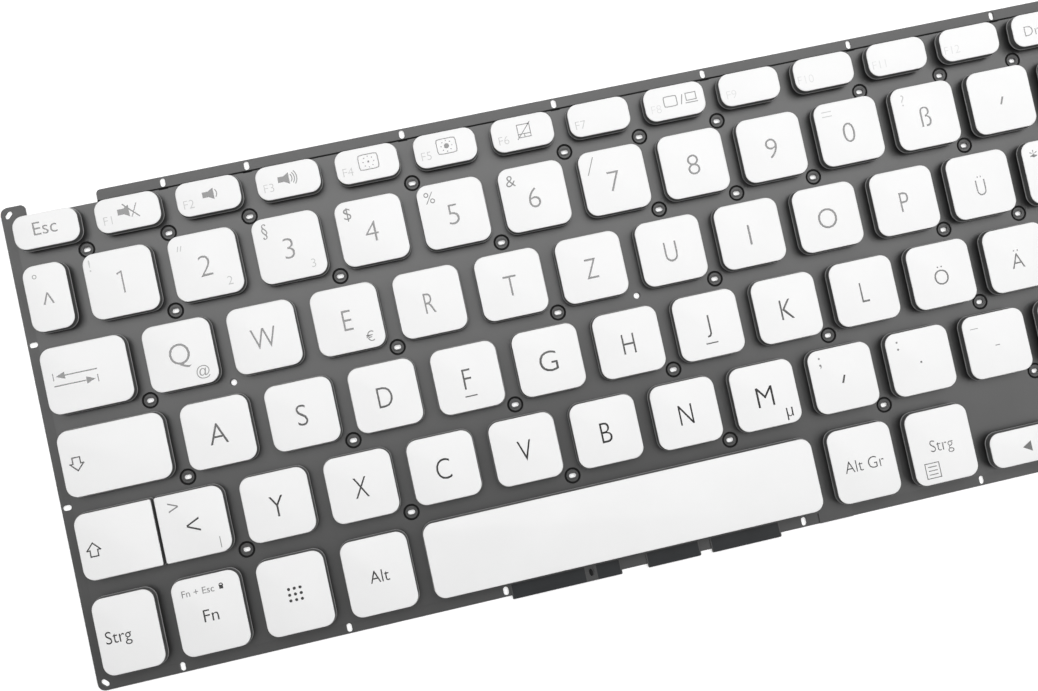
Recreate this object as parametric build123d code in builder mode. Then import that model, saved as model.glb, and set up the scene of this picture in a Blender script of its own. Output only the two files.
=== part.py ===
from build123d import *
from math import asin, atan, atan2, cos, degrees, hypot, sin
from typing import NamedTuple
import os

# Laptop keyboard with low caps on scissor links, on a steel plate with no frame.
# Millimetres, +X along the rows to the right, +Y towards the function row, +Z up, underside at Z 0.

# Key field, measured over the cap tops
key_pitch = 19.05
row_pitch = 18.8
key_gap = 3.9
bottom_row_gap = 4.25
function_depth = 7.6
bottom_depth = 17.15
caret_width = 9.4
backspace_width = 27.6
tab_width = 18.8
caps_lock_width = 23.5
shift_width = 17.25
less_than_width = 14.95
control_width = 13.7
space_width = 91.9

# Caps
cap_height = 1.9
cap_roof = 0.8
cap_wall = 0.8
cap_corner = 2.5
skirt_flare = 0.3
split_clearance = 0.2
split_corner = 0.4
inner_corner = 1.2
homing_bar_length = 3.2
homing_bar_width = 0.45
homing_bar_height = 0.2
homing_bar_setback = 4.2
key_travel = 1.4
pressed_clearance = 0.2

# Plate and film
plate_thickness = 0.5
film_thickness = 0.3
side_margin = 3.45
front_margin = 3.6
back_margin = 3.5
plate_corner = 1.7
notch_start = 5.55
notch_width = 16.2
notch_depth = 2.75
notch_corner = 1.0
boss_diameter = 2.8
boss_height = 0.25
boss_slot_length = 1.8
boss_slot_width = 1.1
boss_ring = 0.5
boss_lead = 1.0
locating_hole = 1.4
rim_slot_length = 2.0
rim_slot_width = 1.2
rim_land = 0.3
first_slot_shift = 1.15
film_setback = 0.15
tab_reach = 0.9
tab_corner = 0.3

# Front tabs of the film, as offset of the middle from the space key's middle, and width.
# The flush one ends at the plate's edge.
front_tabs = [(-16.05, 26.1), (9.6, 12.8), (27.15, 16.9)]
front_tab_slot = -10.0
flush_tab = (49.4, 8.2)
front_slot_offsets = (-30.3, 41.6)

# Mechanism under each cap
link_length = 11.8
link_width = 10.0
link_bar = 0.6
link_thickness = 0.6
link_clearance = 0.12
pocket_clearance = 0.25
seat_clearance = 0.05
dome_diameter = 6.0
dome_taper = 0.45
dome_flats = 8
dome_clearance = 0.15
space_link_offset = 24.0
wire_diameter = 0.8
wire_clearance = 0.5

# Worked-out sizes
cap_width = key_pitch - key_gap
cap_depth = row_pitch - key_gap
split_gap = 2 * skirt_flare + split_clearance
field_width = caret_width + 12 * key_pitch + key_gap + backspace_width
field_depth = function_depth + 4 * row_pitch + bottom_row_gap + bottom_depth
plate_width = field_width + 2 * side_margin
plate_depth = field_depth + front_margin + back_margin
plate_y = tab_reach / 2
plate_back = plate_y + plate_depth / 2
plate_front = plate_y - plate_depth / 2
field_back = plate_back - back_margin
film_top = plate_thickness + film_thickness
skirt_z = film_top + pressed_clearance + key_travel
cap_top = skirt_z + cap_height
pocket_depth = cap_height - cap_roof
roof_z = skirt_z + pocket_depth
skirt_taper = degrees(atan(skirt_flare / cap_height))
rim_slot_inset = rim_land + rim_slot_length / 2
film_inset = rim_land + rim_slot_length + film_setback


class Key(NamedTuple):
    """One cap: its name, the middle of its top, and its top's size."""

    name: str
    x: float
    y: float
    width: float
    depth: float


# Key layout

def lay_row(caps, back, depth, split_after=None):
    """Place (name, width) caps side by side from the left end of the field."""
    left = -field_width / 2
    row = []
    for name, width in caps:
        row.append(Key(name, left + width / 2, back - depth / 2, width, depth))
        left += width + (split_gap if name == split_after else key_gap)
    return row


def letters(names):
    return [(name, cap_width) for name in names.split()]


def width_left(used, split=0):
    """Width from the caps in a row to the right end of the field, with split narrow gaps among them."""
    gaps = len(used) * key_gap - split * (key_gap - split_gap)
    return field_width - sum(width for _, width in used) - gaps


function_width = (field_width - 14 * key_gap) / 15
function_names = "escape f1 f2 f3 f4 f5 f6 f7 f8 f9 f10 f11 f12 print_screen delete".split()
number_back = field_back - function_depth - key_gap
q_back = number_back - row_pitch
a_back = q_back - row_pitch
y_back = a_back - row_pitch
bottom_back = y_back - cap_depth - bottom_row_gap

function_row = lay_row([(name, function_width) for name in function_names], field_back, function_depth)
number_caps = [("caret", caret_width), *letters("1 2 3 4 5 6 7 8 9 0 sharp_s acute")]
number_row = lay_row([*number_caps, ("backspace", backspace_width)], number_back, cap_depth)
q_caps = [("tab", tab_width), *letters("q w e r t z u i o p u_umlaut plus")]
q_row = lay_row(q_caps, q_back, cap_depth)
a_caps = [("caps_lock", caps_lock_width), *letters("a s d f g h j k l o_umlaut a_umlaut hash")]
a_row = lay_row(a_caps, a_back, cap_depth)
y_caps = [("left_shift", shift_width), ("less_than", less_than_width)]
y_caps += letters("y x c v b n m comma period minus")
y_caps.append(("right_shift", width_left(y_caps, split=1)))
y_row = lay_row(y_caps, y_back, cap_depth, split_after="left_shift")
bottom_caps = [("left_control", control_width), *letters("function system left_alt")]
bottom_caps += [("space", space_width), *letters("right_alt right_control")]
arrow_width = (width_left(bottom_caps) - 2 * key_gap) / 3
bottom_caps += [(name, arrow_width) for name in ("arrow_left", "arrow_down", "arrow_right")]
bottom_row = lay_row(bottom_caps, bottom_back, bottom_depth)

# The arrow caps are half as deep: three stand at the front and one behind the middle one
arrow_depth = (bottom_depth - split_gap) / 2
arrow_shift = (bottom_depth - arrow_depth) / 2
arrow_keys = [k._replace(y=k.y - arrow_shift, depth=arrow_depth) for k in bottom_row[-3:]]
arrow_left, arrow_down, arrow_right = arrow_keys
arrow_up = arrow_down._replace(name="arrow_up", y=arrow_down.y + 2 * arrow_shift)
control_row = bottom_row[:-3]
space = control_row[4]

# The enter cap fills both rows at the right end, and is narrower in the front one
field_right = field_width / 2
enter_back_left = field_right - width_left(q_caps)
enter_front_left = field_right - width_left(a_caps)
enter_front = a_back - cap_depth
enter_middle = (enter_front_left + field_right) / 2
enter = Key("enter", enter_middle, (q_back + enter_front) / 2, width_left(a_caps), q_back - enter_front)


def gap_places(row, gaps):
    """Middles of the chosen gaps in a row, counted from its left end."""
    return [row[i].x + (row[i].width + key_gap) / 2 for i in gaps]


def gap_line(back, gap=key_gap):
    """Middle of the gap behind a row."""
    return back + gap / 2


# Bosses stand in the gaps between rows, on the gaps of the row behind and nearer to it.
# Behind the number row, most stand half way between the gaps of both rows.
shared_gaps = (0, 1, 2, 6, 8, 11, 12)
gap_pairs = zip(gap_places(function_row, shared_gaps), gap_places(number_row, shared_gaps))
boss_spots = [((a + b) / 2, gap_line(number_back)) for a, b in gap_pairs]
boss_spots += [(x, gap_line(number_back)) for x in gap_places(function_row, (4, 7, 10))]
boss_spots += [(x, gap_line(q_back) + boss_lead) for x in gap_places(number_row, (1, 3, 5, 7, 8, 9, 11))]
boss_spots += [(x, gap_line(a_back) + boss_lead) for x in gap_places(q_row, (0, 3, 5, 7, 10, 11))]
boss_spots += [(x, gap_line(y_back) + boss_lead) for x in gap_places(a_row, (0, 2, 4, 6, 8, 10, 12))]
front_gap_line = gap_line(bottom_back, bottom_row_gap)
boss_spots += [(x, front_gap_line + boss_lead) for x in gap_places(y_row, (1, 3, 5, 7, 9, 11))]
locating_spots = [(x, gap_line(a_back) + boss_lead) for x in gap_places(q_row, (1, 6))]

# Rim slots
side_slot_x = plate_width / 2 - rim_slot_inset
back_slot_y = plate_back - rim_slot_inset
front_slot_y = plate_front + rim_slot_inset
back_slots = gap_places(function_row, (1, 2, 4, 6, 8, 10, 12))
back_slots[0] -= first_slot_shift
upright_slots = [(x, back_slot_y) for x in back_slots]
upright_slots += [(x, front_slot_y) for x in gap_places(bottom_row, (0, 2, 6))]
upright_slots += [(space.x + offset, front_slot_y) for offset in front_slot_offsets]
level_slots = [(x, gap_line(back)) for x in (-side_slot_x, side_slot_x) for back in (q_back, y_back)]
corner_inset = plate_corner
corner_x = plate_width / 2 - corner_inset
rising_corners = [(-corner_x, plate_back - corner_inset), (corner_x, plate_front + corner_inset)]
falling_corners = [(corner_x, plate_back - corner_inset), (-corner_x, plate_front + corner_inset)]


# Base plate: stamped steel with a notch behind the escape key, raised bosses and slots

with BuildPart() as base_plate:
    with BuildSketch() as plate_outline:
        with Locations((0, plate_y)):
            Rectangle(plate_width, plate_depth)
        fillet(plate_outline.vertices(), plate_corner)
        with Locations((notch_start - plate_width / 2, plate_back)):
            Rectangle(notch_width, notch_depth, align=(Align.MIN, Align.MAX), mode=Mode.SUBTRACT)
        back_corners = plate_outline.vertices().group_by(Axis.Y)[-1].sort_by(Axis.X)
        fillet(back_corners[1:-1], notch_corner)
    extrude(amount=plate_thickness)
    with BuildSketch(Plane.XY.offset(plate_thickness)):
        with Locations(*boss_spots):
            Circle(boss_diameter / 2)
    extrude(amount=boss_height)
    with BuildSketch() as plate_openings:
        with Locations(*boss_spots):
            SlotOverall(boss_slot_length, boss_slot_width)
        with Locations(*locating_spots):
            Circle(locating_hole / 2)
        with Locations(*level_slots):
            SlotOverall(rim_slot_length, rim_slot_width)
        with Locations(*upright_slots):
            SlotOverall(rim_slot_length, rim_slot_width, rotation=90)
        with Locations(*rising_corners):
            SlotOverall(rim_slot_length, rim_slot_width, rotation=45)
        with Locations(*falling_corners):
            SlotOverall(rim_slot_length, rim_slot_width, rotation=-45)
    extrude(amount=plate_thickness + boss_height, mode=Mode.SUBTRACT)

base_plate.part.label = "base_plate"


# Circuit membrane: the dark film on the plate, cut round the bosses, with tabs over the front edge

film_back = plate_back - notch_depth - film_setback
film_front = plate_front + film_inset
film_width = plate_width - 2 * film_inset
tab_front = plate_front - tab_reach

with BuildPart() as circuit_membrane:
    with BuildSketch(Plane.XY.offset(plate_thickness)) as film_outline:
        with Locations((0, film_front)):
            Rectangle(film_width, film_back - film_front, align=(Align.CENTER, Align.MIN))
        fillet(film_outline.vertices(), plate_corner)
        for offset, width in front_tabs:
            with Locations((space.x + offset, tab_front)):
                Rectangle(width, film_front - tab_front, align=(Align.CENTER, Align.MIN))
        fillet(film_outline.vertices().group_by(Axis.Y)[0], tab_corner)
        with Locations((space.x + flush_tab[0], plate_front)):
            Rectangle(flush_tab[1], film_front - plate_front, align=(Align.CENTER, Align.MIN))
        with Locations(*boss_spots):
            Circle(boss_diameter / 2 + boss_ring, mode=Mode.SUBTRACT)
        with Locations(*locating_spots):
            Circle(locating_hole / 2 + film_setback, mode=Mode.SUBTRACT)
        with Locations((space.x + front_tab_slot, front_slot_y)):
            SlotOverall(rim_slot_length, rim_slot_width, rotation=90, mode=Mode.SUBTRACT)
    extrude(amount=film_thickness)

circuit_membrane.part.label = "circuit_membrane"


# Caps: flared to the skirt, hollow underneath

skirt_plane = Plane.XY.offset(skirt_z)


def make_caps(keys):
    with BuildPart() as caps:
        with BuildSketch(skirt_plane):
            for key in keys:
                with Locations((key.x, key.y)):
                    skirt = key.width + 2 * skirt_flare, key.depth + 2 * skirt_flare
                    RectangleRounded(*skirt, cap_corner + skirt_flare)
        extrude(amount=cap_height, taper=skirt_taper)
        with BuildSketch(skirt_plane):
            for key in keys:
                with Locations((key.x, key.y)):
                    Rectangle(key.width - 2 * cap_wall, key.depth - 2 * cap_wall)
        extrude(amount=pocket_depth, mode=Mode.SUBTRACT)
    return caps.part


def make_split_cap(key, split_axis):
    """A cap that shares a narrow gap with its neighbour, with tight corners on that side."""
    with BuildPart() as cap:
        with BuildSketch(skirt_plane) as outline:
            with Locations((key.x, key.y)):
                Rectangle(key.width + 2 * skirt_flare, key.depth + 2 * skirt_flare)
            fillet(outline.vertices().sort_by(split_axis)[:2], cap_corner + skirt_flare)
            fillet(outline.vertices().sort_by(split_axis)[-2:], split_corner + skirt_flare)
        extrude(amount=cap_height, taper=skirt_taper)
        with BuildSketch(skirt_plane):
            with Locations((key.x, key.y)):
                Rectangle(key.width - 2 * cap_wall, key.depth - 2 * cap_wall)
        extrude(amount=pocket_depth, mode=Mode.SUBTRACT)
    return cap.part


def make_homing_cap(key):
    """A cap with the raised bar that a finger finds."""
    plain_cap = make_caps([key])
    with BuildPart() as cap:
        add(plain_cap)
        with BuildSketch(Plane.XY.offset(cap_top)):
            with Locations((key.x, key.y - homing_bar_setback)):
                SlotOverall(homing_bar_length, homing_bar_width)
        extrude(amount=homing_bar_height)
    return cap.part


def make_enter_cap():
    step_y = q_back - cap_depth
    with BuildPart() as cap:
        with BuildSketch(skirt_plane) as outline:
            with Locations((field_right + skirt_flare, q_back + skirt_flare)):
                back_size = field_right - enter_back_left, q_back - step_y
                front_size = field_right - enter_front_left, q_back - enter_front
                for width, depth in (back_size, front_size):
                    Rectangle(width + 2 * skirt_flare, depth + 2 * skirt_flare, align=Align.MAX)
            inner = outline.vertices().sort_by_distance((enter_front_left, step_y))[0]
            outer = [v for v in outline.vertices() if v != inner]
            fillet(outer, cap_corner + skirt_flare)
            inner = outline.vertices().sort_by_distance((enter_front_left, step_y))[0]
            fillet(inner, inner_corner)
        extrude(amount=cap_height, taper=skirt_taper)
        with BuildSketch(skirt_plane):
            with Locations((enter.x, enter.y)):
                Rectangle(enter.width - 2 * cap_wall, enter.depth - 2 * cap_wall)
        extrude(amount=pocket_depth, mode=Mode.SUBTRACT)
    return cap.part


# The two rear rows are a group each; every other cap is a piece of its own
function_row_keycaps = make_caps(function_row)
function_row_keycaps.label = "function_row_keycaps"
number_row_keycaps = make_caps(number_row[:-1])
number_row_keycaps.label = "number_row_keycaps"

split_axes = {
    "left_shift": Axis.X,
    "less_than": Axis.X.reverse(),
    "arrow_up": Axis.Y.reverse(),
    "arrow_down": Axis.Y,
}
typing_keys = [number_row[-1], *q_row, *a_row, *y_row, *control_row, *arrow_keys, arrow_up]
single_caps = []
for key in typing_keys:
    if key.name in split_axes:
        cap = make_split_cap(key, split_axes[key.name])
    elif key.name in ("f", "j"):
        cap = make_homing_cap(key)
    else:
        cap = make_caps([key])
    cap.label = f"key_{key.name}"
    single_caps.append(cap)
enter_cap = make_enter_cap()
enter_cap.label = "key_enter"
single_caps.append(enter_cap)


# Mechanism: two crossed link frames and a rubber dome under each cap

all_keys = [*function_row, *number_row[:-1], *typing_keys, enter]


class Seat(NamedTuple):
    """Size of the links under a cap, and whether they slope along X."""

    length: float
    width: float
    along_x: bool


def seat_of(key):
    across = key.width - 2 * (cap_wall + pocket_clearance)
    deep = key.depth - 2 * (cap_wall + pocket_clearance)
    length = min(link_length, max(across, deep))
    return Seat(length, min(link_width, min(across, deep)), across >= deep)


def link_spots(key):
    """The space cap has two pairs of links, and any other cap has one in its middle."""
    if key.name == "space":
        return [(key.x + side * space_link_offset, key.y) for side in (-1, 1)]
    return [(key.x, key.y)]


link_seats = {}
dome_seats = {}
for key in all_keys:
    link_seats.setdefault(seat_of(key), []).extend(link_spots(key))
    dome_seats.setdefault(seat_of(key), []).append((key.x, key.y))

link_middle = (film_top + roof_z) / 2
link_rise = (roof_z - film_top) / 2 - seat_clearance


def link_planes(seat, spots, lean):
    """Planes through the middles of the link frames, which touch the film at one end and the roof at the other."""
    reach = hypot(seat.length, link_thickness) / 2
    tilt = asin(link_rise / reach) - atan2(link_thickness, seat.length)
    run, rise = cos(tilt), lean * sin(tilt)
    x_dir = (run, 0, rise) if seat.along_x else (0, run, rise)
    z_dir = (-rise, 0, run) if seat.along_x else (0, -rise, run)
    return [Plane((x, y, link_middle), x_dir, z_dir) for x, y in spots]


def make_links(lean, narrowing):
    with BuildPart() as links:
        for seat, spots in link_seats.items():
            width = seat.width - narrowing
            with BuildSketch(*link_planes(seat, spots, lean)):
                Rectangle(seat.length, width)
                Rectangle(seat.length - 2 * link_bar, width - 2 * link_bar, mode=Mode.SUBTRACT)
            extrude(amount=link_thickness / 2, both=True, clean=False)
    return links.part


inner_narrowing = 2 * (link_bar + link_clearance)
outer_scissor_links = make_links(lean=1, narrowing=0)
outer_scissor_links.label = "outer_scissor_links"
inner_scissor_links = make_links(lean=-1, narrowing=inner_narrowing)
inner_scissor_links.label = "inner_scissor_links"

# The domes are hidden and many, so each has a few flats in place of a round wall
dome_height = roof_z - film_top - seat_clearance
with BuildPart() as rubber_domes:
    for seat, spots in dome_seats.items():
        room = seat.width - inner_narrowing - 2 * (link_bar + dome_clearance)
        radius = min(dome_diameter, room) / 2
        with BuildSketch(Plane.XY.offset(film_top)):
            with Locations(*spots):
                RegularPolygon(radius, dome_flats)
        extrude(amount=dome_height, taper=degrees(atan(radius * dome_taper / dome_height)), clean=False)
rubber_domes.part.label = "rubber_domes"


# Stabiliser bars: bent wire under the wide caps, from the film up to the roof of the cap

wide_keys = [number_row[-1], a_row[0], y_row[-1], space]
wire_low = film_top + wire_diameter / 2 + seat_clearance
wire_high = roof_z - wire_diameter / 2 - seat_clearance
with BuildPart() as stabiliser_bars:
    for key in wide_keys:
        side = key.width / 2 - cap_wall - wire_clearance - wire_diameter / 2
        end = key.depth / 2 - cap_wall - wire_clearance - wire_diameter / 2
        with BuildLine() as wire_path:
            Polyline(
                (key.x - side, key.y + end, wire_low),
                (key.x - side, key.y - end, wire_high),
                (key.x + side, key.y - end, wire_high),
                (key.x + side, key.y + end, wire_low),
            )
        with BuildSketch(Plane(wire_path.line @ 0, z_dir=wire_path.line % 0)):
            Circle(wire_diameter / 2)
        sweep(path=wire_path.line, transition=Transition.RIGHT)
stabiliser_bars.part.label = "stabiliser_bars"


# One file for each piece

os.makedirs("parts", exist_ok=True)
pieces = [base_plate.part, circuit_membrane.part, rubber_domes.part, stabiliser_bars.part]
pieces += [outer_scissor_links, inner_scissor_links, function_row_keycaps, number_row_keycaps, *single_caps]
for piece in pieces:
    export_step(piece, f"parts/{piece.label}.step")
print(len(pieces), "pieces")
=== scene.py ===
# %% [markdown]
# # A laptop keyboard with white caps
# The part is a bare replacement keyboard: low caps on scissor links, a dark circuit film and a thin steel
# plate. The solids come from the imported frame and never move. Here they get their finish, and the caps
# and the mechanism under them are modelled again with the rounded edges, prints and seats that show at
# arm's length.

# %% Load the frame
from math import asin, atan2, cos, hypot, pi, radians, sin

import bpy
from mathutils import Matrix, Vector


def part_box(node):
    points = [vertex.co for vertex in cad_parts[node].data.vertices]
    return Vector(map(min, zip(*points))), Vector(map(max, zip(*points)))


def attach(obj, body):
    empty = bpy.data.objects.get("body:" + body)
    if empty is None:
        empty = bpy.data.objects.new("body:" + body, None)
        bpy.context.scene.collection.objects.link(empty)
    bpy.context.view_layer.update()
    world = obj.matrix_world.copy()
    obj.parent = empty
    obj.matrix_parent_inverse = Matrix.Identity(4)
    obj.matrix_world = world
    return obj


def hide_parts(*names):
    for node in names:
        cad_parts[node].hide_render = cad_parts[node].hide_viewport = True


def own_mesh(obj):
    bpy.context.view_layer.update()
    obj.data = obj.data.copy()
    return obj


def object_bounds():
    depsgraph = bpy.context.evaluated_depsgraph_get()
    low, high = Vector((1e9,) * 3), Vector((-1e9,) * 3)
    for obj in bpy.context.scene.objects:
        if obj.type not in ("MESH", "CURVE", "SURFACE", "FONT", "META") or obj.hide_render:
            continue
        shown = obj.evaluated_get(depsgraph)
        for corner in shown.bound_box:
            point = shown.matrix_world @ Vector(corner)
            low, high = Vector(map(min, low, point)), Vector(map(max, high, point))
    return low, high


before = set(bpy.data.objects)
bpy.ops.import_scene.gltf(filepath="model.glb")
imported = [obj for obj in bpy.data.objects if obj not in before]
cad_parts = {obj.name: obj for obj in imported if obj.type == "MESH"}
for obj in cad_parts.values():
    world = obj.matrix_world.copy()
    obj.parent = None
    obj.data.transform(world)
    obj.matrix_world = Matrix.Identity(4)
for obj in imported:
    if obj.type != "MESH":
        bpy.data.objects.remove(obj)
cad_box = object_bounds()
scene = bpy.context.scene
scene.view_settings.view_transform = "Standard"
mm = 0.001

# %% [markdown]
# ## Camera
# The picture looks almost straight down from about 23 cm, turned so that the rows climb to the right. A
# camera could be aimed at a target by a constraint, but here the place and the angles were fitted to the
# corners of the key tops, so they are given outright, and no lens shift is needed.

# %% Camera
camera_place = Vector((-44.95, -4.56, 232.68)) * mm
camera_turn = (2.126, -3.483, -12.36)
camera_lens = 34.64
sensor_width = 36
nearest_seen = 10 * mm

bpy.ops.object.select_all(action="DESELECT")
bpy.ops.object.camera_add(location=camera_place, rotation=[radians(angle) for angle in camera_turn])
camera = bpy.context.object
camera.data.lens = camera_lens
camera.data.sensor_width = sensor_width
camera.data.clip_start = nearest_seen
scene.camera = camera
print("camera:", [round(x, 4) for x in camera.location])

# %% [markdown]
# ## Floor
# The keyboard lies on a white sweep. A floor that is only lit never reaches paper white next to white
# caps, and more light would burn the caps out. So rays from the camera, from a reflection or through a
# clear surface also see a little glow in it, and the shadow at the keyboard's edge stays.

# %% Floor
floor_size = 4.0
floor_drop = 0.02 * mm
floor_glow = 0.3
paper_tone = 0.88
paper_roughness = 0.9


def seen_directly(tree):
    """A value that is 1 for rays from the camera, a reflection or a clear surface, and 0 for others."""
    rays = tree.nodes.new("ShaderNodeLightPath")
    either = tree.nodes.new("ShaderNodeMath")
    either.operation = "MAXIMUM"
    tree.links.new(rays.outputs["Is Camera Ray"], either.inputs[0])
    tree.links.new(rays.outputs["Is Glossy Ray"], either.inputs[1])
    any_of = tree.nodes.new("ShaderNodeMath")
    any_of.operation = "MAXIMUM"
    tree.links.new(either.outputs[0], any_of.inputs[0])
    tree.links.new(rays.outputs["Is Transmission Ray"], any_of.inputs[1])
    return any_of.outputs[0]


bpy.ops.object.select_all(action="DESELECT")
bpy.ops.mesh.primitive_plane_add(size=floor_size, location=(0, 0, cad_box[0].z - floor_drop))
floor = bpy.context.object
floor.name = "white_sweep"
paper = bpy.data.materials.new("paper_sweep")
paper.use_nodes = True
paper_shader = paper.node_tree.nodes["Principled BSDF"]
paper_shader.inputs["Base Color"].default_value = (paper_tone, paper_tone, paper_tone, 1)
paper_shader.inputs["Roughness"].default_value = paper_roughness
paper_shader.inputs["Emission Color"].default_value = (1, 1, 1, 1)
glow = paper.node_tree.nodes.new("ShaderNodeMath")
glow.operation = "MULTIPLY"
glow.inputs[1].default_value = floor_glow
paper.node_tree.links.new(seen_directly(paper.node_tree), glow.inputs[0])
paper.node_tree.links.new(glow.outputs[0], paper_shader.inputs["Emission Strength"])
floor.data.materials.append(paper)
print("floor:", floor_size, "m wide")

# %% [markdown]
# ## Light
# One long lamp hangs above and behind. Seen from the camera, the dark film mirrors it in the rear rows
# and no longer in the front ones, so the film is pale behind and dark in front, as a satin film under a
# soft box is. A weaker lamp in front on the right keeps the film pale there too, and a faint one on the
# left whitens the caps in that corner. A picture of a studio could light the part too, but lamps and a
# plain sky need no file.

# %% Light
sky_light = 0.25
lamps = (
    {"place": (0.12, 0.21, 0.62), "width": 1.2, "depth": 0.4, "power": 5.1},
    {"place": (0.53, -0.2, 0.62), "width": 0.5, "depth": 0.5, "power": 1.4},
    {"place": (-0.35, -0.15, 0.62), "width": 0.6, "depth": 0.6, "power": 0.4},
)

sky = bpy.data.worlds.new("soft_room")
scene.world = sky
sky.use_nodes = True
background = sky.node_tree.nodes["Background"]
background.inputs["Color"].default_value = (1, 1, 1, 1)
sky_level = sky.node_tree.nodes.new("ShaderNodeMapRange")
sky_level.inputs["To Min"].default_value = sky_light
sky_level.inputs["To Max"].default_value = 1.0
sky_rays = sky.node_tree.nodes.new("ShaderNodeLightPath")
sky.node_tree.links.new(sky_rays.outputs["Is Camera Ray"], sky_level.inputs["Value"])
sky.node_tree.links.new(sky_level.outputs["Result"], background.inputs["Strength"])

for sizes in lamps:
    bpy.ops.object.light_add(type="AREA", location=sizes["place"])
    lamp = bpy.context.object
    lamp.data.shape = "RECTANGLE"
    lamp.data.size = sizes["width"]
    lamp.data.size_y = sizes["depth"]
    lamp.data.energy = sizes["power"]
print("light: sky", sky_light, "and", len(lamps), "lamps")

# %% [markdown]
# ## How a finish is built
# A single colour looks like a drawing, and a photographed one would need a picture file. So each finish
# drifts between two close tones, and a fine grain moves its gloss and its bump. The patterns read Object
# coordinates, which are the part's own metres, so a grain of 0.2 mm is a noise scale of 5000.

# %% How a finish is built
tone_stops = (0.3, 0.7)
cloud_detail = 4
grain_detail = 3
bump_strength = 0.6


def grey(level, warmth):
    return (level * (1 + warmth), level, level * (1 - warmth))


def mottled(name, tones, gloss, drift, grain, relief, warmth=0.0, metallic=0.0, ior=1.5):
    """A finish that drifts between two grey tones. Drift, grain and relief are in mm."""
    material = bpy.data.materials.new(name)
    material.use_nodes = True
    tree = material.node_tree
    shader = tree.nodes["Principled BSDF"]
    shader.inputs["Metallic"].default_value = metallic
    shader.inputs["IOR"].default_value = ior
    place = tree.nodes.new("ShaderNodeTexCoord")
    clouds = tree.nodes.new("ShaderNodeTexNoise")
    clouds.inputs["Scale"].default_value = 1 / (drift * mm)
    clouds.inputs["Detail"].default_value = cloud_detail
    ramp = tree.nodes.new("ShaderNodeValToRGB")
    for stop, position, tone in zip(ramp.color_ramp.elements, tone_stops, tones):
        stop.position = position
        stop.color = (*grey(tone, warmth), 1)
    specks = tree.nodes.new("ShaderNodeTexNoise")
    specks.inputs["Scale"].default_value = 1 / (grain * mm)
    specks.inputs["Detail"].default_value = grain_detail
    shine = tree.nodes.new("ShaderNodeMapRange")
    shine.inputs["To Min"].default_value = gloss[0]
    shine.inputs["To Max"].default_value = gloss[1]
    bump = tree.nodes.new("ShaderNodeBump")
    bump.inputs["Strength"].default_value = bump_strength
    bump.inputs["Distance"].default_value = relief * mm
    tree.links.new(place.outputs["Object"], clouds.inputs["Vector"])
    tree.links.new(place.outputs["Object"], specks.inputs["Vector"])
    tree.links.new(clouds.outputs["Fac"], ramp.inputs["Fac"])
    tree.links.new(ramp.outputs["Color"], shader.inputs["Base Color"])
    tree.links.new(specks.outputs["Fac"], shine.inputs["Value"])
    tree.links.new(shine.outputs["Result"], shader.inputs["Roughness"])
    tree.links.new(specks.outputs["Fac"], bump.inputs["Height"])
    tree.links.new(bump.outputs["Normal"], shader.inputs["Normal"])
    return material


print("a finish has tones at", tone_stops, "of its clouds")

# %% [markdown]
# ## The finishes of this keyboard
# The white paint is dull, the plastics and the film have a satin gloss, and the black that paints the shade
# in the crevices is nearly flat. The ink of the letters is smooth and mirrors more than plastic does, which
# makes the same print look darker or paler across the board. Four strengths of ink could be one ink with a
# mask, but four materials are plainer.

# %% The finishes of this keyboard
plastic_surface = {"gloss": (0.3, 0.45), "drift": 6, "grain": 0.2, "relief": 0.006}
ink_surface = {"drift": 2, "grain": 0.1, "relief": 0.002}
pale_gloss = (0.3, 0.4)

white_paint = mottled("white_cap_paint", (0.8, 0.82), (0.5, 0.6), drift=12, grain=0.16, relief=0.004)
cap_plastic = mottled("charcoal_cap_plastic", (0.085, 0.11), **plastic_surface)
# A paler plastic for the lip and ledge at the foot of each cap.
pale_lip_plastic = mottled("pale_cap_lip_plastic", (0.28, 0.34), **plastic_surface)
print_ink = mottled("dark_print_ink", (0.01, 0.014), (0.14, 0.2), ior=1.9, **ink_surface)
fine_ink = mottled("pale_print_ink", (0.17, 0.22), pale_gloss, **ink_surface)
faint_ink = mottled("faint_print_ink", (0.45, 0.52), pale_gloss, **ink_surface)
# The palest ink paints the lamp's highlight that makes the names of the last function keys paler.
highlight_pale_ink = mottled("highlight_pale_print_ink", (0.6, 0.68), pale_gloss, **ink_surface)
film = mottled("dark_circuit_film", (0.027, 0.035), (0.36, 0.44),
               drift=18, grain=0.25, relief=0.004, ior=1.68)
plate_paint = mottled("dark_plate_paint", (0.033, 0.042), (0.35, 0.5),
                      drift=14, grain=0.3, relief=0.006, ior=1.6)
# Flat black that paints shade: in the gap round each boss, at the step where the film ends, and in the
# punched hole.
crevice_shade = mottled("painted_crevice_shade", (0.01, 0.016), (0.7, 0.8), drift=3, grain=0.15, relief=0.008, ior=1.15)
tape = mottled("black_tab_tape", (0.013, 0.018), (0.4, 0.5),
               drift=6, grain=0.2, relief=0.004, warmth=-0.1, ior=1.4)
dome_rubber = mottled("milky_dome_rubber", (0.3, 0.38), (0.5, 0.65), drift=3, grain=0.3, relief=0.01)
link_plastic = mottled("black_link_plastic", (0.022, 0.035), (0.25, 0.4), drift=5, grain=0.2, relief=0.004)
wire_steel = mottled("bright_wire_steel", (0.5, 0.6), (0.22, 0.35),
                     drift=4, grain=0.15, relief=0.003, metallic=1.0)


def dress(node, material):
    """Give a node from the frame its finish."""
    node.data.materials.clear()
    node.data.materials.append(material)


dress(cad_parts["base_plate"], plate_paint)
dress(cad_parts["circuit_membrane"], film)
print("finishes:", len(bpy.data.materials))

# %% [markdown]
# ## Where the caps stand
# The places could be typed in as a table, but then they would no longer follow the solids. Each single
# cap is a node, so the frame gives its box. The two rear rows are a node each, and their caps are found
# from the row's box: the function caps share it evenly, and the number caps have the pitch of the
# letters.

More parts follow.
